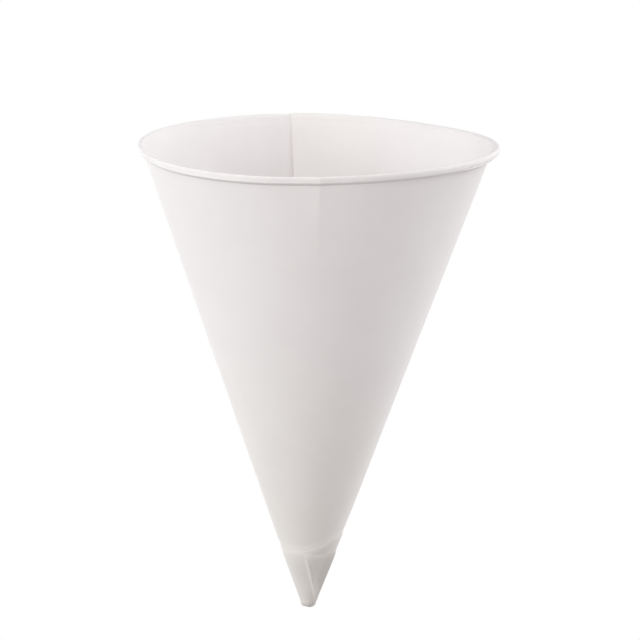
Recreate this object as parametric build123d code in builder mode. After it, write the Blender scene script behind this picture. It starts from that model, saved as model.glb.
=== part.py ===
# Cone paper cup, wound from one sheet of paper, standing on its rolled rim with its point up.
# Origin at the middle of the mouth, on the plane that the rim stands on. +Z runs to the point.
# Lengths are in millimetres. Angles are in degrees about +Z, anticlockwise seen from the point.
import os
from math import asin, cos, degrees, radians, sin, tan

from build123d import *

# The sheet
paper = 0.2
turn_of_sheet = 120.0
inner_edge = 81.0
lap = 37.0
rise_gap = 7.0
rise_span = 10.0

# The rolled rim
rim_diameter = 81.5
curl_diameter = 1.9
curl_sides = 16
curl_open_sides = 3
curl_neck = 0.4
neck_tuck = 0.02

# The point
point_loss = 4.6
cap_height = 0.5
cap_tuck = 0.05
point_solid = 5.0
cavity_end_radius = 0.5
cavity_taper = 2.5
point_squeeze = 0.4

# The tail of the sheet, wound on round the point and cut off straight across
tail_short = 19.2
tail_long = 25.6
tail_short_side = -50.0
tail_end = 250.0
tail_spare = 3.0

# The wall. A turn of the flat sheet over 360 degrees is the sine of the cone's half angle.
half_angle = asin(turn_of_sheet / 360.0)
slope = tan(half_angle)
ply = paper / cos(half_angle)
outer_edge = inner_edge + lap
rise_end = inner_edge - rise_gap
rise_start = rise_end - rise_span

# The curl is a tube of paper with narrow flat sides. It rests on one of them, and another is
# where the wall runs into it. The sides before that one are left out, as the tube's gap.
curl_radius = curl_diameter / 2
curl_hollow = curl_radius - paper
curl_middle_r = rim_diameter / 2 - curl_radius
curl_middle_z = curl_radius
joint_z = curl_diameter + curl_neck
tangent_z = curl_middle_z - curl_radius * sin(half_angle)
tangent_r = curl_middle_r - curl_radius * cos(half_angle)
curl_side = 360.0 / curl_sides
wall_side = round((180.0 + degrees(half_angle)) / curl_side)
curl_angles = [(wall_side + 0.5 + i) * curl_side for i in range(curl_sides - curl_open_sides + 1)]

# Heights up the cone
apex_z = tangent_z + (tangent_r + ply) / slope
height = apex_z - point_loss
cap_z = height - cap_height
cap_foot_z = cap_z - cap_height
cavity_shoulder_z = height - point_solid
cavity_end_z = cavity_shoulder_z + cavity_taper


def wall_radius(z: float) -> float:
    """Radius of the wall's outer face at a height, away from the lap."""
    return (apex_z - z) * slope


def on_cone(slant: float, angle: float) -> Vector:
    """Point on the wall's outer face, a slant distance away from the cone's apex."""
    radius = slant * sin(half_angle)
    turned = radians(angle)
    return Vector(radius * cos(turned), radius * sin(turned), apex_z - slant * cos(half_angle))


def curl_corner(radius: float, angle: float) -> tuple[float, float]:
    """Corner between two sides of the curl, which lie a radius away from its middle."""
    reach = radius / cos(radians(curl_side / 2))
    turned = radians(angle)
    return (curl_middle_r + reach * cos(turned), curl_middle_z + reach * sin(turned))


def wound_section(z: float, radius: float, edge: float) -> Sketch:
    """Level section of the wound sheet, which climbs over its inner edge and ends in a step."""
    with BuildSketch(Plane.XY.offset(z)) as section:
        with BuildLine():
            under = CenterArc((0, 0), radius, edge, rise_start + 360.0 - edge)
            over = CenterArc((0, 0), radius + ply, rise_end, edge - rise_end)
            Spline(under @ 1, over @ 0, tangents=(under % 1, over % 0))
            Line(over @ 1, under @ 0)
        make_face()
    return section.sketch


# The cavity, from just under the wall's foot to the gathered point
with BuildPart() as cavity:
    mouth_z = joint_z - curl_neck
    mouth = wound_section(mouth_z, wall_radius(mouth_z) - ply, inner_edge)
    shoulder = wound_section(cavity_shoulder_z, wall_radius(cavity_shoulder_z) - ply, inner_edge)
    end = wound_section(cavity_end_z, cavity_end_radius, inner_edge)
    loft(sections=[mouth, shoulder, end], ruled=True)

# The tail, one more ply that goes round the point and over itself as far as its end
with BuildPart() as tail:
    tail_foot_z = on_cone(tail_long + tail_spare, 0.0).Z
    foot = wound_section(tail_foot_z, wall_radius(tail_foot_z) + ply, tail_end)
    tail_top_radius = wall_radius(cap_z) + ply * point_squeeze
    top = wound_section(cap_z, tail_top_radius, tail_end)
    loft(sections=[foot, top], ruled=True)
    high = on_cone(tail_short, tail_short_side)
    low = on_cone(tail_long, tail_short_side + 180.0)
    level = Vector(-sin(radians(tail_short_side)), cos(radians(tail_short_side)), 0)
    straight_cut = Plane(origin=high, x_dir=low - high, z_dir=level.cross(low - high))
    split(bisect_by=straight_cut, keep=Keep.TOP)

# The rim, curled outwards until its free edge nearly meets the wall again. Its neck is a
# hair thinner than the wall's foot that it runs into.
with BuildPart() as curl:
    with BuildSketch(Plane.XZ):
        with BuildLine():
            inner_foot = (wall_radius(joint_z) - ply + neck_tuck, joint_z)
            outer_foot = (wall_radius(joint_z) - neck_tuck, joint_z)
            outside = [curl_corner(curl_radius, angle) for angle in curl_angles]
            inside = [curl_corner(curl_hollow, angle) for angle in reversed(curl_angles)]
            Polyline(inner_foot, *outside, *inside, outer_foot, close=True)
        make_face()
    revolve(axis=Axis.Z)

# The cup: wall, tail and closed point round the cavity, with the curl under them
with BuildPart() as cone_cup:
    wall_foot = wound_section(joint_z, wall_radius(joint_z), outer_edge)
    wall_top = wound_section(cap_z, wall_radius(cap_z), outer_edge)
    loft(sections=[wall_foot, wall_top], ruled=True)
    add(tail.part)
    with BuildSketch(Plane.XZ):
        with BuildLine():
            cap_radius = tail_top_radius - cap_tuck
            rounding = CenterArc((cap_radius - cap_height, cap_z), cap_height, 0, 90)
            Polyline(rounding @ 1, (0, height), (0, cap_foot_z), (cap_radius, cap_foot_z), rounding @ 0)
        make_face()
    revolve(axis=Axis.Z)
    add(cavity.part, mode=Mode.SUBTRACT)
    add(curl.part)

cone_cup.part.label = "cone_cup"
os.makedirs("parts", exist_ok=True)
export_step(cone_cup.part, "parts/cone_cup.step")

print(f"height {height:.2f}, apex {apex_z:.2f}, curl middle {curl_middle_r:.3f} {curl_middle_z:.3f}")
print(f"solids {len(cone_cup.part.solids())}, volume {cone_cup.part.volume:.1f}")
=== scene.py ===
"""Cone-shaped paper drinking cup, wound from one sheet of paper and stood on its rolled rim.

Lengths are metres, or millimetres where a name ends in _mm. Angles are degrees, unless a
docstring says radians. The frame is the part's own: the origin is the middle of the mouth, on
the plane that the rim stands on, and +Z runs to the point. Angles run anticlockwise about +Z,
seen from the point. The sheet is wound with its angle rising without a break, from its inner
edge to the end of its tail.
"""

import logging
import math
from dataclasses import dataclass, field, fields
from enum import Enum

import bmesh
import bpy
import numpy as np
from bpy.types import Material, Mesh, Node, NodeSocket, NodeTree, Object, Scene
from mathutils import Matrix, Vector


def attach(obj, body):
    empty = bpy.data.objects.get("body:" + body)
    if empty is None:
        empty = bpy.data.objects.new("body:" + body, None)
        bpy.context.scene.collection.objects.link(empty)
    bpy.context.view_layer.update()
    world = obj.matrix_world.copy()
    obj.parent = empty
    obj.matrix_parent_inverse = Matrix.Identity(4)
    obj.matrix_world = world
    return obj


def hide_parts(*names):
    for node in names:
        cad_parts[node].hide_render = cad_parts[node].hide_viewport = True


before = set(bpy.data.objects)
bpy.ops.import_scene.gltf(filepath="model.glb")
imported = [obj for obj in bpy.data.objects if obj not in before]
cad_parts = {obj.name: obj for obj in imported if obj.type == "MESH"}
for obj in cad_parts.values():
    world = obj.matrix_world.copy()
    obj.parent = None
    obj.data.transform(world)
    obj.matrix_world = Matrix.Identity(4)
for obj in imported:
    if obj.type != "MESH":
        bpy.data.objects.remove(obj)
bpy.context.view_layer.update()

log = logging.getLogger("cone_cup")

MM = 0.001
TURN = 360.0

Array = np.ndarray
Pair = tuple[float, float]
Triple = tuple[float, float, float]
Series = tuple[float, ...]
Feed = Node | NodeSocket | float | Series


def ease(value: Array, start: float, end: float) -> Array:
    """Rises smoothly from 0 at start to 1 at end.

    Args:
        value: Places to measure at.
        start: Where the rise begins.
        end: Where the rise is over. It may be lower than start.

    Returns:
        An array of shares from 0 to 1.
    """
    share = np.clip((value - start) / (end - start), 0.0, 1.0)
    return share * share * (3.0 - 2.0 * share)


def bump(value: Array, middle: float, spread: float) -> Array:
    """Rounded bump of height 1 at middle, which dies away over a few spreads."""
    return np.exp(-(((value - middle) / spread) ** 2))


def angle_apart(angle: Array, middle: float) -> Array:
    """Signed difference between angles, from -180 to 180."""
    return (angle - middle + 180.0) % TURN - 180.0


def smooth_through(angle: Array, knots: Series, values: Series, closed: bool = False) -> Array:
    """Smooth curve through a few points.

    Args:
        angle: Angles to measure at.
        knots: Angles of the points, rising.
        values: The curve's values there.
        closed: Whether the curve goes all round and meets its own start.

    Returns:
        The curve's value at each angle.
    """
    places, heights = np.array(knots), np.array(values)
    if closed:
        places = np.concatenate([places[-2:] - TURN, places, places[:2] + TURN])
        heights = np.concatenate([heights[-2:], heights, heights[:2]])
        angle = angle % TURN
    grades = np.gradient(heights, places)
    left = np.clip(np.searchsorted(places, angle, side="right") - 1, 0, len(places) - 2)
    span = places[left + 1] - places[left]
    share = np.clip((angle - places[left]) / span, 0.0, 1.0)
    rise = share * share * (3.0 - 2.0 * share)
    leave = share * (1.0 - share) ** 2 * span * grades[left]
    reach = share * share * (share - 1.0) * span * grades[left + 1]
    return heights[left] + (heights[left + 1] - heights[left]) * rise + leave + reach


class Face(Enum):
    """The two faces of the sheet, by the share of its thickness below the outer one."""

    OUTER = 0.0
    INNER = 1.0


@dataclass
class SheetGrid:
    """Rows and columns of places on the sheet's outer face, before plies are stacked.

    Each place has its angle about +Z, its radius and height, the direction in which the
    sheet's outer face looks there, and its distance from the cone's apex along the sheet.
    """

    angle: Array
    radius: Array
    height: Array
    out_radius: Array
    out_height: Array
    slant: Array

    @classmethod
    def joined(cls, grids: list["SheetGrid"]) -> "SheetGrid":
        """Puts grids with the same columns one above the other.

        Args:
            grids: The grids, in the order of their rows.

        Returns:
            One grid with all their rows.
        """
        names = [one.name for one in fields(cls)]
        return cls(*(np.concatenate([getattr(grid, name) for grid in grids]) for name in names))


@dataclass(frozen=True)
class Cone:
    """The cone that the sheet is wound on, measured on the wall's outer face."""

    sheet_turn: float = 120.0
    apex_height: float = 111.79 * MM

    @property
    def half_angle(self) -> float:
        """Half angle in radians. A turn of the flat sheet over 360 degrees is its sine."""
        return math.asin(self.sheet_turn / TURN)

    def slant(self, height: Array) -> Array:
        """Distance from the apex along the wall, at a height above the floor."""
        return (self.apex_height - height) / math.cos(self.half_angle)

    def radius(self, height: Array) -> Array:
        """Radius of the wall at a height above the floor."""
        return (self.apex_height - height) * math.tan(self.half_angle)

    def wall(self, angle: Array, slant: Array) -> SheetGrid:
        """Places on the straight wall.

        Args:
            angle: Angles about +Z, a row for each row of places.
            slant: Distances from the apex along the wall, of the same shape.

        Returns:
            The grid of those places.
        """
        radius = slant * math.sin(self.half_angle)
        height = self.apex_height - slant * math.cos(self.half_angle)
        out_radius = np.full_like(slant, math.cos(self.half_angle))
        out_height = np.full_like(slant, math.sin(self.half_angle))
        return SheetGrid(angle, radius, height, out_radius, out_height, slant)


@dataclass(frozen=True)
class Winding:
    """How the one sheet goes round the cone and climbs over its own edge at each turn."""

    paper: float = 0.2 * MM
    ply_step: float = 0.21 * MM
    inner_edge: float = 81.0
    outer_edge: float = 478.0
    climbs: Series = (424.0, 784.0)
    climb_span: float = 10.0
    rim_delay: float = 7.0
    rim_reach: Pair = (1.5 * MM, 6.0 * MM)
    stand_off: float = 0.15 * MM
    stand_span: float = 3.0
    wall_columns: int = 391
    tail_columns: int = 173
    close_columns: tuple[Pair, ...] = ((81.0, 128.0), (184.0, 216.0), (262.0, 278.0))
    close_fade: float = 4.0
    column_steps: int = 4001
    lap_shade: Pair = (15.0, 38.0)
    lap_shade_end: float = 5.0

    def level(self, grid: SheetGrid) -> Array:
        """How many plies lie under the sheet, which climbs later where it is rolled.

        Args:
            grid: The places to measure at.

        Returns:
            Numbers of plies, with a smooth climb from one to the next.
        """
        late = self.rim_delay * (1.0 - ease(grid.height, *self.rim_reach))
        starts = [start + late for start in self.climbs]
        return sum(ease((grid.angle - start) / self.climb_span, 0.0, 1.0) for start in starts)

    def lap_share(self, grid: SheetGrid, face: Face) -> Array:
        """How much of the lap's tone shows, where the wall has two plies.

        Args:
            grid: The places to measure at.
            face: The face that is looked at.

        Returns:
            Shares from 0 to 1.
        """
        near, far = self.lap_shade
        if face is Face.INNER:
            return 1.0 - ease(grid.angle, self.inner_edge + near, self.inner_edge + far)
        share = ease(grid.angle, self.outer_edge - far, self.outer_edge - near)
        past_edge = ease(grid.angle, self.outer_edge, self.outer_edge + self.lap_shade_end)
        return share * (1.0 - past_edge)

    def inner_stand(self, grid: SheetGrid) -> Array:
        """How far the sheet's inner edge stands off the ply that it is glued to."""
        near = 1.0 - ease(grid.angle, self.inner_edge, self.inner_edge + self.stand_span)
        return self.stand_off * near * ease(grid.height, *self.rim_reach)

    def columns(self) -> Array:
        """Places the wall's columns, closer together where the paper is creased.

        Returns:
            The angles of the columns.
        """
        even = np.linspace(self.inner_edge, self.outer_edge, self.column_steps)
        weight = np.ones_like(even)
        for start, end in self.close_columns:
            past_end = ease(even, end, end + self.close_fade)
            weight += ease(even, start - self.close_fade, start) * (1.0 - past_end)
        total = np.concatenate([[0.0], np.cumsum((weight[1:] + weight[:-1]) / 2)])
        return np.interp(np.linspace(0.0, total[-1], self.wall_columns), total, even)


@dataclass(frozen=True)
class Tail:
    """The sheet's tail, wound on round the point below the wall's outer edge.

    The upper edge is the line that the sheet was cut along, seen as a step round the
    cup near its point. The end edge is straight in the flat sheet. Both edges are pressed
    thin, and a low crest runs beside the end edge.
    """

    start_angle: float = 478.0
    start_span: float = 22.0
    edge_angles: Series = (478.0, 546.0, 577.0, 600.0, 624.0, 648.0, 668.0, 700.0, 925.0, 996.0)
    edge_mm: Series = (24.5, 23.4, 22.8, 21.45, 20.35, 19.6, 19.5, 19.75, 18.3, 19.3)
    seam_span: float = 60.0
    end_angle: float = 996.0
    end_line_angle: float = 1024.75
    end_line_distance: float = 2.7 * MM
    raise_angles: Series = (
        478.0, 505.0, 540.0, 580.0, 595.0, 615.0, 645.0, 690.0, 715.0, 760.0, 996.0
    )
    raise_mm: Series = (0.0, -0.06, -0.12, -0.12, -0.11, -0.1, -0.1, -0.1, -0.12, -0.13, -0.15)
    raise_width: float = 0.9 * MM
    end_thin: float = 0.17 * MM
    crest: float = 0.12 * MM
    crest_place: float = 0.5 * MM
    crest_width: float = 2.4 * MM
    crest_low: Pair = (5.2 * MM, 6.5 * MM)
    crest_top: float = 2.0 * MM
    # Painted highlight: a ring just above the point is left without painted shade.
    painted_highlight_ring: Pair = (5.0 * MM, 5.9 * MM)
    # Where painted shade lies on the tail, and how much of it.
    shade_depth: float = 7.0 * MM
    shade_behind: Pair = (0.6, 1.6)
    shade_fades: Pair = (575.0, 625.0)
    shade_returns: Pair = (850.0, 900.0)
    beside_end: Pair = (935.0, 975.0)
    low_shades: Triple = (0.13, 0.6, 0.27)
    high_shades: Pair = (0.27, 0.7)
    rows: int = 27
    row_power: float = 1.4
    pull_power: int = 3

    def upper_edge(self, angle: Array) -> Array:
        """Distance of the tail's upper edge from the apex, on one smooth curve."""
        return smooth_through(angle, self.edge_angles, self.edge_mm) * MM

    def started(self, grid: SheetGrid) -> Array:
        """Share that rises from 0 to 1 where the tail begins."""
        return ease(grid.angle, self.start_angle, self.start_angle + self.start_span)

    def line(self, angle: Array) -> Array:
        """Finds the step that the edge of the tail's first turn makes, all round.

        Args:
            angle: The angles to measure at.

        Returns:
            Distances of the step from the apex.
        """
        first = self.start_angle + (angle - self.start_angle) % TURN
        edge = self.upper_edge(first)
        last = self.start_angle + TURN
        return edge + (self.edge_mm[0] * MM - edge) * ease(first, last - self.seam_span, last)

    def end_edge(self, slant: Array, cone: Cone) -> Array:
        """Angle at which the sheet ends, at each distance from the apex."""
        lean = np.degrees(np.arcsin(np.clip(self.end_line_distance / slant, -1.0, 1.0)))
        return self.end_line_angle - lean / math.sin(cone.half_angle)

    def raised(self, grid: SheetGrid, cone: Cone) -> Array:
        """How far the outer face is raised along the tail's edges, or pressed in.

        Args:
            grid: The places to measure at.
            cone: The cone that carries the tail.

        Returns:
            Distances out from the sheet.
        """
        from_top = self.upper_edge(grid.angle) - grid.slant
        height = smooth_through(grid.angle, self.raise_angles, self.raise_mm) * MM
        top = height * (1.0 - ease(from_top, 0.0, self.raise_width))
        arc = self.from_end(grid, cone)
        rise = ease(arc, 0.0, self.crest_place)
        crest = self.crest * rise * (1.0 - ease(arc, self.crest_place, self.crest_width))
        edge = crest - self.end_thin * (1.0 - rise)
        calm = ease(grid.slant, *self.crest_low) * ease(from_top, 0.0, self.crest_top)
        return self.started(grid) * (top + edge * calm)

    def from_end(self, grid: SheetGrid, cone: Cone) -> Array:
        """Distance round the cone from each place to the tail's end edge."""
        return np.radians(self.end_edge(grid.slant, cone) - grid.angle) * grid.radius

    def painted_shade(self, grid: SheetGrid, cone: Cone) -> Array:
        """How much painted shade shows: some on the tail, most behind its end edge, and none in a
        strip beside that edge or in a ring above the point, which stay light as painted
        highlights.

        Args:
            grid: The places to measure at.
            cone: The cone that carries the tail.

        Returns:
            Shares from 0 to 1.
        """
        deep = ease(self.upper_edge(grid.angle) - grid.slant, 0.0, self.shade_depth)
        late = ease(grid.angle, *self.shade_returns)
        aside = late * (1.0 - ease(grid.angle, *self.beside_end))
        plain, more, most = self.low_shades
        low = plain + more * late + most * aside
        plain, most = self.high_shades
        high = plain * (1.0 - ease(grid.angle, *self.shade_fades)) + most * aside
        share = low * deep + high * (1.0 - deep)
        start, end = self.shade_behind
        # A strip beside the end edge is left without painted shade, as a painted highlight.
        behind = ease(self.from_end(grid, cone), start * self.crest_place, end * self.crest_place)
        # The ring just above the point is left without painted shade, as a painted highlight.
        return self.started(grid) * share * behind * ease(grid.slant, *self.painted_highlight_ring)

    def crest_line(self, grid: SheetGrid, cone: Cone) -> Array:
        """Angle of the crest that runs beside the tail's end edge."""
        width = self.crest_place / (grid.slant * math.sin(cone.half_angle))
        return self.end_edge(grid.slant, cone) - np.degrees(width)


@dataclass(frozen=True)
class ClosedPoint:
    """The blunt end, where all plies are turned in and pressed shut."""

    start_slant: float = 4.7 * MM
    rounding: float = 0.95 * MM
    pinhole: float = 0.03 * MM
    pinhole_least: float = 0.2
    round_rows: int = 7
    flat_rows: int = 2
    squeeze: float = 0.8
    squeeze_from: float = 18.0 * MM
    neck: float = 0.85
    neck_point_side: float = 0.3 * MM
    neck_rim_side: float = 2.2 * MM
    # Share of painted shade on the pressed end of the point.
    painted_shade: float = 0.4

    def sink(self, grid: SheetGrid, line: Array) -> Array:
        """How many plies deep the winding is pressed in, under the tail and at the point.

        Args:
            grid: The places to measure at.
            line: Distance from the apex of the tail's line.

        Returns:
            Numbers of plies.
        """
        past = ease(grid.slant - line, -self.neck_point_side, self.neck_rim_side)
        loose = ease(grid.slant, self.start_slant, self.squeeze_from)
        return self.neck * (1.0 - past) + self.squeeze * (1.0 - loose)

    def rows(self, angle: Array, cone: Cone) -> SheetGrid:
        """Rows from the pinhole out to where the straight tail begins.

        Args:
            angle: One row of angles, where the sheet is at its start slant.
            cone: The cone that carries the tail.

        Returns:
            The grid of the flat end and the rounding round it.
        """
        lean = cone.half_angle
        sine, cosine = math.sin(lean), math.cos(lean)
        middle_r = self.start_slant * sine - self.rounding * cosine
        middle_z = cone.apex_height - self.start_slant * cosine - self.rounding * sine
        flat = np.linspace(self.pinhole, middle_r, self.flat_rows, endpoint=False)
        turns = np.linspace(math.pi / 2, lean, self.round_rows, endpoint=False)
        radius = np.concatenate([flat, middle_r + self.rounding * np.cos(turns)])
        end_height = np.full(self.flat_rows, middle_z + self.rounding)
        height = np.concatenate([end_height, middle_z + self.rounding * np.sin(turns)])
        out_radius = np.concatenate([np.zeros(self.flat_rows), np.cos(turns)])
        out_height = np.concatenate([np.ones(self.flat_rows), np.sin(turns)])
        angles = np.repeat(angle[None, :], len(radius), axis=0)
        even = np.ones_like(angles)
        places = [value[:, None] * even for value in (radius, height, out_radius, out_height)]
        return SheetGrid(angles, *places, self.start_slant * even)


@dataclass(frozen=True)
class RolledRim:
    """The rim, folded outwards and rolled back to the wall as a small flattened tube.

    Its section is measured out from the wall's outer face and up from the rim's lowest
    line. The free edge meets the wall again, but for one stretch where it turns up along
    the wall as a lip. The roll isn't quite level, and stands out more on one side.
    """

    fold_height: float = 1.5 * MM
    fold_lean: float = 0.2
    first_width: float = 0.5 * MM
    width_rounds: int = 12
    tuck_height: float = 2.1 * MM
    section_angles: Series = (0.0, 60.0, 120.0, 180.0, 210.0, 240.0, 290.0, 330.0)
    proud_mm: Series = (0.77, 0.95, 1.4, 1.75, 1.22, 1.03, 0.75, 0.68)
    widest_mm: Series = (0.95, 1.0, 0.9, 0.85, 1.0, 1.0, 1.3, 1.35)
    tuck_gap_mm: Series = (0.05, 0.1, 0.12, 0.12, 0.12, 0.05, 0.0, 0.0)
    first_powers: Series = (0.8, 0.9, 1.0, 1.2, 1.2, 1.1, 1.0, 0.95)
    last_powers: Series = (1.3, 0.85, 0.75, 0.75, 0.85, 1.1, 1.55, 1.6)
    lip_angles: Series = (172.0, 188.0, 211.0, 224.0)
    lip_shares: Pair = (0.55, 0.45)
    lip_power: float = 0.5
    lip_crease: float = 0.75 * MM
    lip_gap: float = 0.1 * MM
    lip_tuck: float = 1.45 * MM
    lip_end: float = 2.6 * MM
    lip_bulge: float = 0.74 * MM
    lip_bulge_power: float = 0.6
    line_angles: Series = (
        0.0, 30.0, 60.0, 85.0, 105.0, 130.0, 150.0, 165.0,
        190.0, 220.0, 250.0, 270.0, 285.0, 305.0, 330.0,
    )
    line_mm: Series = (
        0.47, 0.42, 0.52, 0.52, 0.87, 1.24, 1.07, 0.72,
        0.32, 0.02, 0.11, 0.45, 0.66, 0.85, 0.82,
    )
    fold_rows: int = 3
    first_rows: int = 15
    last_rows: int = 17
    wall_rows: int = 32
    wall_row_power: float = 1.7

    def line(self, angle: Array) -> Array:
        """Height of the rim's lowest line above the floor, all round."""
        line = smooth_through(angle, self.line_angles, self.line_mm, closed=True)
        return np.maximum(line, 0.0) * MM

    def fold_slant(self, angle: Array, cone: Cone) -> Array:
        """Distance from the apex at which the wall is folded outwards."""
        return cone.slant(self.fold_height + self.line(angle))

    def around(self, angle: Array, values: Series) -> Array:
        """One of the section's measures, which changes round the rim."""
        return smooth_through(angle, self.section_angles, values, closed=True)

    def oval(self, proud: Array, low: Array, ply: float) -> tuple[Array, Array]:
        """Fits the oval of the roll's lowest part to the straight fold that runs into it.

        Args:
            proud: How far the roll stands out, one row.
            low: Height at which it is widest, one row.
            ply: The wall's thickness, measured level.

        Returns:
            Half the oval's width, and the turn in radians from its end to where the fold
            touches it.
        """
        lean, fold = self.fold_lean, self.fold_height
        wide = np.full_like(proud, self.first_width)
        for _ in range(self.width_rounds):
            start = np.arctan(lean * low / wide)
            reach = proud + ply - lean * (fold - low + low * np.sin(start))
            wide = reach / (1.0 + np.cos(start))
        return wide, start

    def section(self, angle: Array, ply: float) -> tuple[Array, Array]:
        """Places on the roll's outside, from just past the fold to the free edge.

        Args:
            angle: One row of angles.
            ply: The wall's thickness, measured level.

        Returns:
            Distances out from the wall and up from the rim's line, a row for each place.
        """
        proud = self.around(angle, self.proud_mm) * MM
        low = self.around(angle, self.widest_mm) * MM
        gap = self.around(angle, self.tuck_gap_mm) * MM
        lean, fold = self.fold_lean, self.fold_height
        wide, start = self.oval(proud, low, ply)
        touch = low - low * np.sin(start)
        share = np.linspace(0.0, 1.0, self.fold_rows + 1)[1:-1, None]
        fold_up = fold + (touch - fold) * share
        fold_out = lean * (fold - fold_up) - ply
        share = np.linspace(0.0, 1.0, self.first_rows)[:, None]
        turn = math.pi + start + share * (math.pi - start)
        across, down = np.cos(turn), -np.sin(turn)
        outer = across > 0.0
        power = self.around(angle, self.first_powers)
        across = np.where(outer, np.abs(across) ** power, across)
        down = np.where(outer, np.abs(down) ** power, down)
        first_out, first_up = proud - wide + wide * across, low - low * down
        turn = np.linspace(0.0, math.pi / 2, self.last_rows + 1)[1:, None]
        power = self.around(angle, self.last_powers)
        corner = np.clip(np.cos(turn), 0.0, 1.0) ** power
        roll_out = gap + (proud - gap) * corner
        roll_up = low + (self.tuck_height - low) * np.sin(turn) ** power
        lip_out, lip_up = self.lip_section(proud, low, turn / (math.pi / 2))
        starts, full, fades, ends = self.lip_angles
        loose = ease(angle, starts, full) * (1.0 - ease(angle, fades, ends))
        last_out = roll_out + (lip_out - roll_out) * loose
        last_up = roll_up + (lip_up - roll_up) * loose
        return np.vstack([fold_out, first_out, last_out]), np.vstack([fold_up, first_up, last_up])

    def lip_section(self, proud: Array, low: Array, share: Array) -> tuple[Array, Array]:
        """Places on the roll's last part, where the free edge stands off as a lip.

        Args:
            proud: How far the roll stands out, one row.
            low: Height at which it is widest, one row.
            share: Shares of the way to the free edge, one column.

        Returns:
            Distances out from the wall and up from the rim's line.
        """
        roll, lip = self.lip_shares
        turn = np.clip(share / roll, 0.0, 1.0) * math.pi / 2
        past = np.clip((share - roll) / lip, 0.0, 1.0)
        corner = np.clip(np.cos(turn), 0.0, 1.0) ** self.lip_power
        out = self.lip_crease + (proud - self.lip_crease) * corner
        out = out + (self.lip_gap - self.lip_crease) * ease(past, 0.0, 1.0)
        up = low + (self.lip_tuck - low) * np.sin(turn) ** self.lip_power
        bulge = self.lip_bulge * np.sin(math.pi * past**self.lip_bulge_power)
        return out + bulge, up + (self.lip_end - self.lip_tuck) * past

    def rows(self, angle: Array, cone: Cone, paper: float) -> SheetGrid:
        """Rows round the roll, from the fold to the free edge.

        Args:
            angle: One row of angles.
            cone: The cone that the wall lies on.
            paper: Thickness of the sheet.

        Returns:
            The grid of the roll, without the row that it shares with the wall.
        """
        out, up = self.section(angle, paper / math.cos(cone.half_angle))
        height = up + self.line(angle)
        radius = cone.radius(height) + out
        along_r, along_z = np.gradient(radius, axis=0), np.gradient(height, axis=0)
        length = np.hypot(along_r, along_z)
        out_radius, out_height = -along_z / length, along_r / length
        return SheetGrid(
            np.repeat(angle[None, :], len(radius), axis=0),
            radius + paper * out_radius,
            height + paper * out_height,
            out_radius,
            out_height,
            np.repeat(self.fold_slant(angle, cone)[None, :], len(radius), axis=0),
        )


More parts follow.
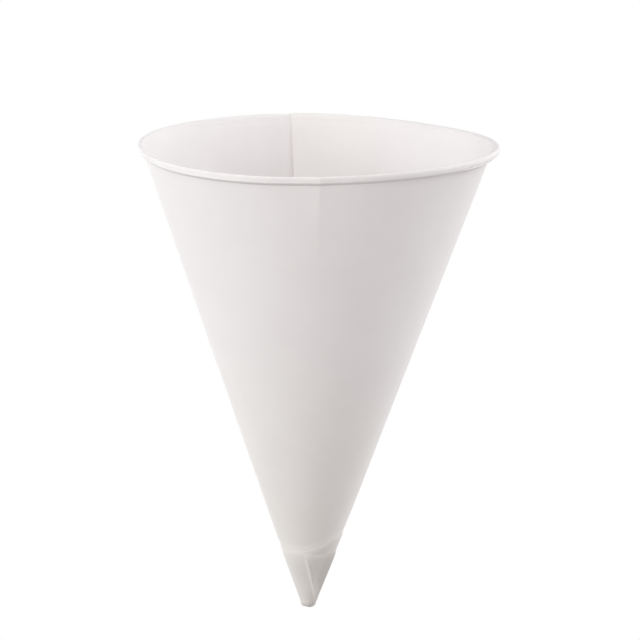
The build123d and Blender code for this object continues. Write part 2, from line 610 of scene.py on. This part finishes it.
@dataclass(frozen=True)
class HandMarks:
    """What winding and rolling leave on the paper: a slight lean, waves, a kink and wrinkles.

    A wave has its size, its number of folds round the cup, its phase in radians and its
    climb. A wrinkle has its angle, its width and its depth in millimetres.
    """

    wall_shift: float = 0.207 * MM
    wall_lean: float = 0.0140
    kink_angle: float = 269.0
    kink_depth: float = 0.45 * MM
    kink_span: float = 18.0
    kink_fade: float = 9.0 * MM
    kink_scale: float = 6.75
    wave: float = 0.05 * MM
    waves: tuple[Series, ...] = ((1.0, 3.0, 0.0, 40.0), (0.6, 7.0, -1.1, -70.0))
    wave_point: Pair = (20.0 * MM, 50.0 * MM)
    wave_rim: float = 12.0 * MM
    wrinkles: tuple[Triple, ...] = (
        (70.0, 2.4, 0.10), (76.5, 1.3, -0.09), (79.0, 1.0, 0.08), (105.5, 1.1, -0.12),
        (108.0, 1.2, 0.10), (121.0, 1.5, -0.09), (124.5, 1.4, 0.07),
    )
    wrinkle_height: float = 0.8 * MM
    wrinkle_reach: float = 1.6 * MM
    groove_height: float = 1.5 * MM
    groove_depth: float = 0.12 * MM
    groove_width: float = 0.25 * MM
    ridge_angles: Series = (
        60.0, 120.0, 180.0, 205.0, 228.0, 255.0, 275.0, 300.0, 325.0, 345.0
    )
    ridge_mm: Series = (0.0, 0.0, 0.0, 0.08, 0.28, 0.38, 0.42, 0.4, 0.28, 0.08)
    ridge_rim_side: float = 1.0 * MM
    ridge_point_side: float = 6.0 * MM
    facet_ends: Pair = (188.0, 346.0)
    facet_shares: Pair = (1.0, 0.3)
    facet_fade: Pair = (0.0, 10.0 * MM)
    burr: float = 0.13 * MM
    burr_height: float = 107.2 * MM
    burr_width: float = 0.25 * MM

    def shape(
        self, points: Array, grid: SheetGrid, line: Array, crest: Array, rim_line: Array
    ) -> Array:
        """Moves the points of an even cup to where the real paper lies.

        Args:
            points: Points of one face of the sheet, with x, y and z last.
            grid: The places that the points were made from.
            line: Distance from the apex of the tail's line, at each place's angle.
            crest: Angle of the tail's crest, at each place's distance from the apex.
            rim_line: Height of the rim's lowest line at each place's angle.

        Returns:
            The moved points.
        """
        turned = np.radians(grid.angle)
        out = np.stack([np.cos(turned), np.sin(turned)], axis=-1)
        moved = points.copy()
        swell = self.swell(grid, points[..., 2], rim_line) + self.ridge(grid, line)
        swell = swell - self.facets(grid, line, crest)
        moved[..., :2] += out * swell[..., None]
        moved[..., 0] += self.wall_shift + self.wall_lean * points[..., 2]
        return moved

    def ridge(self, grid: SheetGrid, line: Array) -> Array:
        """How far the paper is pushed out along the tail's line, more on one side of the front.

        Args:
            grid: The places to measure at.
            line: Distance from the apex of the tail's line.

        Returns:
            Distances, out from the axis.
        """
        past = grid.slant - line
        spread = np.where(past > 0.0, self.ridge_rim_side, self.ridge_point_side)
        height = smooth_through(grid.angle, self.ridge_angles, self.ridge_mm, closed=True) * MM
        return height * np.exp(-((past / spread) ** 2))

    def facets(self, grid: SheetGrid, line: Array, crest: Array) -> Array:
        """How far the paper is pressed in to two flats that meet at the tail's crest.

        Args:
            grid: The places to measure at.
            line: Distance from the apex of the tail's line.
            crest: Angle of the tail's crest.

        Returns:
            Distances, in towards the axis.
        """
        inset = np.zeros_like(grid.slant)
        for side, share in zip(self.facet_ends, self.facet_shares):
            middle, half = (side + crest % TURN) / 2, np.abs(side - crest % TURN) / 2
            apart = np.clip(angle_apart(grid.angle, middle), -half, half)
            depth = 1.0 - np.cos(np.radians(half)) / np.cos(np.radians(apart))
            inset += share * grid.radius * depth
        return inset * ease(line - grid.slant, *self.facet_fade)

    def swell(self, grid: SheetGrid, height: Array, rim_line: Array) -> Array:
        """How far the paper stands out from the even cone.

        Args:
            grid: The places to measure at.
            height: Their heights above the floor.
            rim_line: Height of the rim's lowest line at each place's angle.

        Returns:
            Distances, out from the axis.
        """
        apart = np.abs(angle_apart(grid.angle, self.kink_angle))
        share = np.clip(apart / self.kink_span, 0.0, 1.0)
        kink = -self.kink_scale * self.kink_depth * share * (1.0 - share) ** 2
        kink = kink * np.exp(-height / self.kink_fade)
        turned = np.radians(grid.angle)
        waves = sum(
            size * np.sin(folds * turned + phase + climb * height)
            for size, folds, phase, climb in self.waves
        )
        calm = ease(grid.slant, *self.wave_point) * ease(height, 0.0, self.wave_rim)
        creases = sum(
            depth * MM * bump(angle_apart(grid.angle, angle), 0.0, width)
            for angle, width, depth in self.wrinkles
        )
        groove = self.groove_depth * bump(height - rim_line, self.groove_height, self.groove_width)
        creases = creases * bump(height, self.wrinkle_height, self.wrinkle_reach)
        burr = self.burr * bump(height, self.burr_height, self.burr_width)
        return kink + self.wave * waves * calm + creases + groove + burr


def wired(tree: NodeTree, kind: str, inputs: dict[str | int, Feed], **settings: str) -> Node:
    """Adds a shader node with its inputs and settings.

    Args:
        tree: The nodes to add to.
        kind: Blender's name for the node, without ShaderNode before it.
        inputs: What each input gets: a socket, a node's first output, or a plain value.
        settings: The node's own settings.

    Returns:
        The new node.
    """
    node = tree.nodes.new(f"ShaderNode{kind}")
    for name, value in settings.items():
        setattr(node, name, value)
    for name, value in inputs.items():
        if isinstance(value, Node):
            value = value.outputs[0]
        if isinstance(value, NodeSocket):
            tree.links.new(value, node.inputs[name])
        else:
            node.inputs[name].default_value = value
    return node


def seen_rays(tree: NodeTree) -> Node:
    """Adds a share of 1 for rays which show a thing to the camera, straight or reflected.

    Args:
        tree: The nodes to add to.

    Returns:
        The node that gives the share.
    """
    rays = wired(tree, "LightPath", {}).outputs
    pair = {0: rays["Is Glossy Ray"], 1: rays["Is Transmission Ray"]}
    bent = wired(tree, "Math", pair, operation="MAXIMUM")
    pair = {0: rays["Is Camera Ray"], 1: bent}
    return wired(tree, "Math", pair, operation="MAXIMUM")


@dataclass(frozen=True)
class PaperFinish:
    """Uncoated white paper: matt, slightly warm and mottled, with a fine fibre.

    Two plies are a little lighter than one. Shade is painted into the colour: it darkens the paper
    and warms it toward the point, and it darkens the tail and the pressed point further. A ring
    above the point and a strip beside the tail's end edge are left light, as painted highlights.
    """

    name: str = "white_paper"
    colour: Triple = (0.885, 0.853, 0.844)
    shade: Triple = (0.868, 0.834, 0.826)
    lap_tint: Triple = (1.03, 1.025, 1.015)
    # Painted shade: the paper is darker toward the point, and warmer there.
    painted_point_shade: Triple = (0.945, 0.935, 0.905)
    # Painted shade on the tail and the pressed point.
    painted_shade_tint: Triple = (0.70, 0.69, 0.667)
    lap_name: str = "lap_share"
    painted_shade_name: str = "glue_share"
    tint_from: float = 35.0 * MM
    tint_to: float = 107.0 * MM
    roughness: float = 0.92
    specular: float = 0.25
    mottle_scale: float = 90.0
    mottle_detail: float = 6.0
    mottle_roughness: float = 0.6
    mottle_range: Pair = (0.35, 0.65)
    fibre_scale: float = 2600.0
    fibre_detail: float = 3.0
    fibre_height: float = 0.006 * MM
    crimp_scale: float = 420.0
    crimp_detail: float = 2.0
    crimp_flatness: float = 5.0
    crimp_height: float = 0.13 * MM
    crimp_reach: Pair = (1.0 * MM, 2.6 * MM)

    def build(self) -> Material:
        """Makes the paper's material.

        Returns:
            The new material.
        """
        material = bpy.data.materials.new(self.name)
        material.use_nodes = True
        tree = material.node_tree
        shader = tree.nodes["Principled BSDF"]
        shader.inputs["Roughness"].default_value = self.roughness
        shader.inputs["Specular IOR Level"].default_value = self.specular
        place = wired(tree, "TexCoord", {}).outputs["Object"]
        mottle = wired(tree, "TexNoise", {
            "Vector": place, "Scale": self.mottle_scale, "Detail": self.mottle_detail,
            "Roughness": self.mottle_roughness,
        })
        tone = wired(tree, "ValToRGB", {"Fac": mottle})
        ends = zip(tone.color_ramp.elements, self.mottle_range, (self.shade, self.colour))
        for end, position, tint in ends:
            end.position = position
            end.color = (*tint, 1.0)
        height = wired(tree, "SeparateXYZ", {0: place}).outputs["Z"]
        climb = wired(tree, "MapRange", {
            "Value": height, "From Min": self.tint_from, "From Max": self.tint_to,
        }, interpolation_type="SMOOTHSTEP")
        # Painted shade, darker and warmer toward the point.
        colour = self.tinted(tree, tone.outputs[0], climb.outputs[0], self.painted_point_shade)
        # The lap's tone, then the painted shade on the tail and the pressed point.
        for name, tint in ((self.lap_name, self.lap_tint), (self.painted_shade_name, self.painted_shade_tint)):
            share = wired(tree, "Attribute", {}, attribute_name=name)
            colour = self.tinted(tree, colour, share.outputs["Fac"], tint)
        tree.links.new(colour, shader.inputs["Base Color"])
        fibre = wired(tree, "TexNoise", {
            "Vector": place, "Scale": self.fibre_scale, "Detail": self.fibre_detail,
        })
        relief = wired(tree, "Bump", {"Height": fibre, "Distance": self.fibre_height})
        crimped = self.crimped(tree, place, height, relief.outputs[0])
        tree.links.new(crimped, shader.inputs["Normal"])
        return material

    def crimped(
        self, tree: NodeTree, place: NodeSocket, height: NodeSocket, normal: NodeSocket
    ) -> NodeSocket:
        """Adds the fine level creases that rolling leaves along the rim.

        Args:
            tree: The nodes to add to.
            place: Places on the cup.
            height: Their heights above the floor.
            normal: The normal to start from.

        Returns:
            The creased normal.
        """
        flat = wired(tree, "Mapping", {
            "Vector": place, "Scale": (1.0, 1.0, self.crimp_flatness),
        })
        crimp = wired(tree, "TexNoise", {
            "Vector": flat, "Scale": self.crimp_scale, "Detail": self.crimp_detail,
        })
        full, none = self.crimp_reach
        fade = wired(tree, "MapRange", {"Value": height, "From Min": none, "From Max": full})
        relief = wired(tree, "Bump", {
            "Normal": normal, "Height": crimp, "Strength": fade, "Distance": self.crimp_height,
        })
        return relief.outputs[0]

    @staticmethod
    def tinted(
        tree: NodeTree, colour: NodeSocket, share: NodeSocket, tint: Triple
    ) -> NodeSocket:
        """Multiplies a colour by a tint, by as much as a share says.

        Args:
            tree: The nodes to add to.
            colour: The colour to tint.
            share: How much of the tint to take, from 0 to 1.
            tint: The tint.

        Returns:
            The tinted colour.
        """
        kind = {"data_type": "RGBA", "blend_type": "MULTIPLY"}
        mix = wired(tree, "Mix", {"Factor": share}, **kind)
        colours = [socket for socket in mix.inputs if socket.type == "RGBA"]
        colours[1].default_value = (*tint, 1.0)
        tree.links.new(colour, colours[0])
        return next(socket for socket in mix.outputs if socket.type == "RGBA")


@dataclass
class WoundCup:
    """The cup: one sheet of paper from the pressed point to the rolled rim."""

    cone: Cone = field(default_factory=Cone)
    winding: Winding = field(default_factory=Winding)
    tail: Tail = field(default_factory=Tail)
    point: ClosedPoint = field(default_factory=ClosedPoint)
    rim: RolledRim = field(default_factory=RolledRim)
    marks: HandMarks = field(default_factory=HandMarks)
    finish: PaperFinish = field(default_factory=PaperFinish)
    sharp_angle: float = 40.0

    def point_part(self) -> SheetGrid:
        """The point and the tail, whose rows run through all columns.

        Returns:
            Its grid, up to the line at which the tail's upper edge starts.
        """
        wind, tail, cone = self.winding, self.tail, self.cone
        spare = np.linspace(wind.outer_edge, tail.end_angle, wind.tail_columns + 1)[1:]
        even = np.concatenate([wind.columns(), spare])
        top = np.maximum(tail.upper_edge(even), self.point.start_slant)
        share = 1.0 - (1.0 - np.linspace(0.0, 1.0, tail.rows + 1)[:, None]) ** tail.row_power
        slant = self.point.start_slant + share * (top - self.point.start_slant)[None, :]
        along = np.clip((even - wind.outer_edge) / (tail.end_angle - wind.outer_edge), 0.0, 1.0)
        pull = (tail.end_edge(slant, cone) - tail.end_angle) * along[None, :] ** tail.pull_power
        angle = even[None, :] + pull
        return SheetGrid.joined([self.point.rows(angle[0], cone), cone.wall(angle, slant)])

    def wall_part(self) -> SheetGrid:
        """The wall from the tail's line to the rim and the roll, whose rows end at the outer edge.

        Returns:
            Its grid, whose first row is the point part's last one.
        """
        wind, rim, cone = self.winding, self.rim, self.cone
        angle = wind.columns()
        split = self.tail.upper_edge(np.array([wind.outer_edge]))[0]
        foot = rim.fold_slant(angle, cone)[None, :]
        left = 1.0 - np.linspace(0.0, 1.0, rim.wall_rows + 1)[:, None]
        slant = split + (foot - split) * (1.0 - left**rim.wall_row_power)
        angles = np.repeat(angle[None, :], len(slant), axis=0)
        return SheetGrid.joined([cone.wall(angles, slant), rim.rows(angle, cone, wind.paper)])

    def points(self, grid: SheetGrid, face: Face) -> Array:
        """Points of one face of the sheet, with the plies stacked.

        Args:
            grid: The places on the sheet.
            face: Which face to give.

        Returns:
            An array with x, y and z last.
        """
        wind, line = self.winding, self.tail.line(grid.angle)
        lift = (wind.level(grid) - self.point.sink(grid, line)) * wind.ply_step
        lift = lift - face.value * wind.paper - wind.inner_stand(grid)
        lift = lift + (1.0 - face.value) * self.tail.raised(grid, self.cone)
        least = self.point.pinhole_least * self.point.pinhole
        radius = np.maximum(grid.radius + grid.out_radius * lift, least)
        turned = np.radians(grid.angle)
        height = grid.height + grid.out_height * lift
        even = np.stack([radius * np.cos(turned), radius * np.sin(turned), height], axis=-1)
        crest = self.tail.crest_line(grid, self.cone)
        return self.marks.shape(even, grid, line, crest, self.rim.line(grid.angle))

    def tones(self, grid: SheetGrid, face: Face) -> tuple[Array, Array]:
        """Shares of the lap's tone and of the painted shade, on one face of the sheet.

        Args:
            grid: The places on the sheet.
            face: Which face to give.

        Returns:
            The share of the lap's tone, and the share of the painted shade.
        """
        pressed = grid.slant <= self.point.start_slant
        # Painted shade: a fixed share on the pressed point, and the tail's own share elsewhere.
        painted_shades = np.where(pressed, self.point.painted_shade, self.tail.painted_shade(grid, self.cone))
        return self.winding.lap_share(grid, face), painted_shades

    def build(self) -> Object:
        """Makes the cup's mesh, a closed sheet with its real thickness.

        Returns:
            The cup, dressed, riding on the body and standing for the solid one.
        """
        tip, wall = self.point_part(), self.wall_part()
        wall_columns = wall.angle.shape[1]
        tip_index = np.arange(tip.angle.size).reshape(tip.angle.shape)
        fresh = tip.angle.size + np.arange(wall.angle.size - wall_columns)
        wall_index = np.vstack([tip_index[-1, :wall_columns], fresh.reshape(-1, wall_columns)])
        faces = np.concatenate([self.quads(tip_index), self.quads(wall_index)])
        border = self.border(tip_index, wall_index)
        one_side = tip.angle.size + fresh.size
        points, laps, painted_shades = [], [], []
        for face in Face:
            for grid, first in ((tip, 0), (wall, 1)):
                points.append(self.points(grid, face)[first:].reshape(-1, 3))
                lap, painted_shade = self.tones(grid, face)
                laps.append(lap[first:].ravel())
                painted_shades.append(painted_shade[first:].ravel())
        ahead = np.roll(border, -1)
        edge = np.stack([border, ahead, ahead + one_side, border + one_side], axis=1)
        quads = np.concatenate([faces, faces[:, ::-1] + one_side, edge[:, ::-1]])
        mesh = bpy.data.meshes.new("wound_cup")
        mesh.from_pydata(np.concatenate(points).tolist(), [], quads.tolist())
        self.tidy(mesh)
        # The lap's tone and the painted shade are stored as point attributes for the material.
        for name, shares in ((self.finish.lap_name, laps), (self.finish.painted_shade_name, painted_shades)):
            tone = mesh.attributes.new(name, "FLOAT", "POINT")
            tone.data.foreach_set("value", np.concatenate(shares))
        cup = bpy.data.objects.new("wound_cup", mesh)
        bpy.context.scene.collection.objects.link(cup)
        mesh.materials.append(self.finish.build())
        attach(cup, "root")
        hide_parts("cone_cup")
        return cup

    @staticmethod
    def quads(index: Array) -> Array:
        """Four-sided faces between neighbouring rows and columns of an index grid."""
        corners = [index[:-1, :-1], index[:-1, 1:], index[1:, 1:], index[1:, :-1]]
        return np.stack(corners, axis=-1).reshape(-1, 4)

    @staticmethod
    def border(tip: Array, wall: Array) -> Array:
        """Goes once round the sheet's cut edges.

        Args:
            tip: Index grid of the point and the tail.
            wall: Index grid of the wall and the roll, whose first row lies in the tip's last.

        Returns:
            The indices along the border, in order.
        """
        edges = [
            tip[0],
            tip[1:, -1],
            tip[-1, wall.shape[1] - 1 : -1][::-1],
            wall[1:, -1],
            wall[-1, -2::-1],
            wall[-2::-1, 0],
            tip[-2:0:-1, 0],
        ]
        return np.concatenate(edges)

    def tidy(self, mesh: Mesh) -> None:
        """Turns all faces outwards, and shades them smooth but for the cut edges.

        Args:
            mesh: The mesh to put in order.
        """
        work = bmesh.new()
        work.from_mesh(mesh)
        bmesh.ops.recalc_face_normals(work, faces=work.faces)
        work.to_mesh(mesh)
        work.free()
        mesh.shade_smooth()
        mesh.set_sharp_from_angle(angle=math.radians(self.sharp_angle))


@dataclass(frozen=True)
class FloorFinish:
    """Plain pale floor that shows from above and lets a view from below look through.

    It takes the cup's shadow, and fades to the white of the backdrop away from the cup.
    """

    name: str = "pale_floor"
    colour: Triple = (0.86, 0.86, 0.86)
    paleness: float = 0.22
    fade: Pair = (0.10, 0.42)

    def build(self) -> Material:
        """Makes the floor's material.

        Returns:
            The new material.
        """
        material = bpy.data.materials.new(self.name)
        material.use_nodes = True
        tree = material.node_tree
        tree.nodes.clear()
        back = wired(tree, "NewGeometry", {}).outputs["Backfacing"]
        front = wired(tree, "Math", {0: 1.0, 1: back}, operation="SUBTRACT")
        shown = wired(tree, "Math", {0: seen_rays(tree), 1: front}, operation="MULTIPLY")
        clear = wired(tree, "BsdfTransparent", {})
        matt = wired(tree, "BsdfDiffuse", {"Color": (*self.colour, 1.0)})
        pale = wired(tree, "Emission", {"Strength": self.paleness})
        both = wired(tree, "AddShader", {0: matt, 1: pale})
        place = wired(tree, "TexCoord", {}).outputs["Object"]
        away = wired(tree, "VectorMath", {0: place}, operation="LENGTH")
        near, gone = self.fade
        far = wired(tree, "MapRange", {
            "Value": away.outputs["Value"], "From Min": near, "From Max": gone,
        }, interpolation_type="SMOOTHSTEP")
        white = wired(tree, "Emission", {})
        faded = wired(tree, "MixShader", {"Fac": far, 1: both, 2: white})
        mixed = wired(tree, "MixShader", {"Fac": shown, 1: clear, 2: faded})
        wired(tree, "OutputMaterial", {"Surface": mixed})
        return material


@dataclass(frozen=True)
class StudioAir:
    """Even pale light from all round, with plain white behind the cup."""

    colour: Triple = (1.018, 1.0, 0.993)
    strength: float = 0.395

    def build(self, scene: Scene) -> None:
        """Gives the scene its world.

        Args:
            scene: The scene to light.
        """
        world = bpy.data.worlds.new("studio_air")
        scene.world = world
        world.use_nodes = True
        tree = world.node_tree
        tree.nodes.clear()
        colour = (*self.colour, 1.0)
        light = wired(tree, "Background", {"Color": colour, "Strength": self.strength})
        white = wired(tree, "Background", {"Color": (1.0, 1.0, 1.0, 1.0), "Strength": 1.0})
        mixed = wired(tree, "MixShader", {"Fac": seen_rays(tree), 1: light, 2: white})
        wired(tree, "OutputWorld", {"Surface": mixed})


@dataclass(frozen=True)
class Softbox:
    """A square soft lamp aimed at a place on the cup."""

    name: str
    place: Triple
    watts: float
    colour: Triple = (1.0, 1.0, 1.0)
    side: float = 0.5
    aim: Triple = (0.0, 0.0, 0.03)

    def build(self) -> Object:
        """Makes the lamp.

        Returns:
            The lamp's object, in place.
        """
        lamp = bpy.data.lights.new(self.name, "AREA")
        lamp.shape = "SQUARE"
        lamp.size = self.side
        lamp.energy = self.watts
        lamp.color = self.colour
        box = bpy.data.objects.new(self.name, lamp)
        box.location = self.place
        away = Vector(self.place) - Vector(self.aim)
        box.rotation_euler = away.to_track_quat("Z", "Y").to_euler()
        box.visible_camera = False
        bpy.context.scene.collection.objects.link(box)
        return box


@dataclass
class Studio:
    """The floor, the air and the lamps round the cup."""

    floor_side: float = 8.0
    floor: FloorFinish = field(default_factory=FloorFinish)
    air: StudioAir = field(default_factory=StudioAir)
    lamps: tuple[Softbox, ...] = (
        Softbox("key_lamp", (0.60, -0.35, 0.0), 1.25, (0.97, 1.0, 1.0)),
        Softbox("key_mouth_lamp", (0.60, -0.05, -0.30), 1.91, (0.94, 1.0, 1.013)),
        Softbox("front_lamp", (0.0, -0.60, -0.20), 1.48, (1.03, 1.0, 1.005)),
        Softbox("fill_lamp", (-0.68, 0.05, -0.25), 1.3, (0.99, 1.0, 1.035)),
        Softbox("fill_side_lamp", (-0.62, 0.32, -0.15), 1.62, (0.985, 1.0, 1.018)),
        Softbox("fill_mouth_lamp", (-0.50, 0.0, -0.50), 0.79, (0.9, 1.0, 1.04)),
        Softbox("back_lamp", (0.45, 0.65, 0.40), 2.6, side=0.6, aim=(0.0, 0.0, 0.05)),
        Softbox("back_fill_lamp", (-0.55, 0.60, 0.45), 1.6, side=0.6, aim=(0.0, 0.0, 0.05)),
    )

    def build(self, scene: Scene) -> list[Object]:
        """Sets up the studio.

        Args:
            scene: The scene to light.

        Returns:
            The floor and the lamps.
        """
        self.air.build(scene)
        half = self.floor_side / 2
        mesh = bpy.data.meshes.new("floor")
        corners = [(-half, -half, 0.0), (half, -half, 0.0), (half, half, 0.0), (-half, half, 0.0)]
        mesh.from_pydata(corners, [], [(0, 1, 2, 3)])
        mesh.materials.append(self.floor.build())
        floor = bpy.data.objects.new("floor", mesh)
        scene.collection.objects.link(floor)
        return [floor, *(lamp.build() for lamp in self.lamps)]


@dataclass(frozen=True)
class PhotoCamera:
    """A long lens that looks into the mouth from under the floor's plane, upside down."""

    focal_pixels: float = 4329.9
    picture_pixels: float = 640.0
    sensor: float = 36.0
    distance: float = 0.9755
    below: float = 12.728
    roll: float = 0.367
    target: Triple = (-0.644 * MM, 0.0, 40.779 * MM)
    clip: Pair = (0.01, 20.0)

    def build(self, scene: Scene) -> Object:
        """Makes the camera and gives it to the scene.

        Args:
            scene: The scene that it looks at.

        Returns:
            The camera's object.
        """
        lens = bpy.data.cameras.new("photo_camera")
        lens.sensor_width = self.sensor
        lens.sensor_fit = "HORIZONTAL"
        lens.lens = self.sensor * self.focal_pixels / self.picture_pixels
        lens.clip_start, lens.clip_end = self.clip
        camera = bpy.data.objects.new("photo_camera", lens)
        low, roll = math.radians(self.below), math.radians(self.roll)
        back = Vector((0.0, -math.cos(low), -math.sin(low)))
        level, rise = Vector((-1.0, 0.0, 0.0)), Vector((0.0, math.sin(low), -math.cos(low)))
        right = math.cos(roll) * level + math.sin(roll) * rise
        up = math.cos(roll) * rise - math.sin(roll) * level
        turn = Matrix((right, up, back)).transposed().to_4x4()
        camera.matrix_world = Matrix.Translation(Vector(self.target) + self.distance * back) @ turn
        scene.collection.objects.link(camera)
        scene.camera = camera
        return camera


def main() -> None:
    """Builds the cup, the studio and the camera."""
    logging.basicConfig(level=logging.INFO, format="%(name)s: %(message)s")
    scene = bpy.context.scene
    scene.view_settings.view_transform = "Standard"
    cup = WoundCup().build()
    log.info("%s has %d faces", cup.name, len(cup.data.polygons))
    for piece in Studio().build(scene):
        log.info("%s is in place", piece.name)
    camera = PhotoCamera().build(scene)
    log.info("%s has a lens of %.1f mm", camera.name, camera.data.lens)


if __name__ == "__main__":
    main()
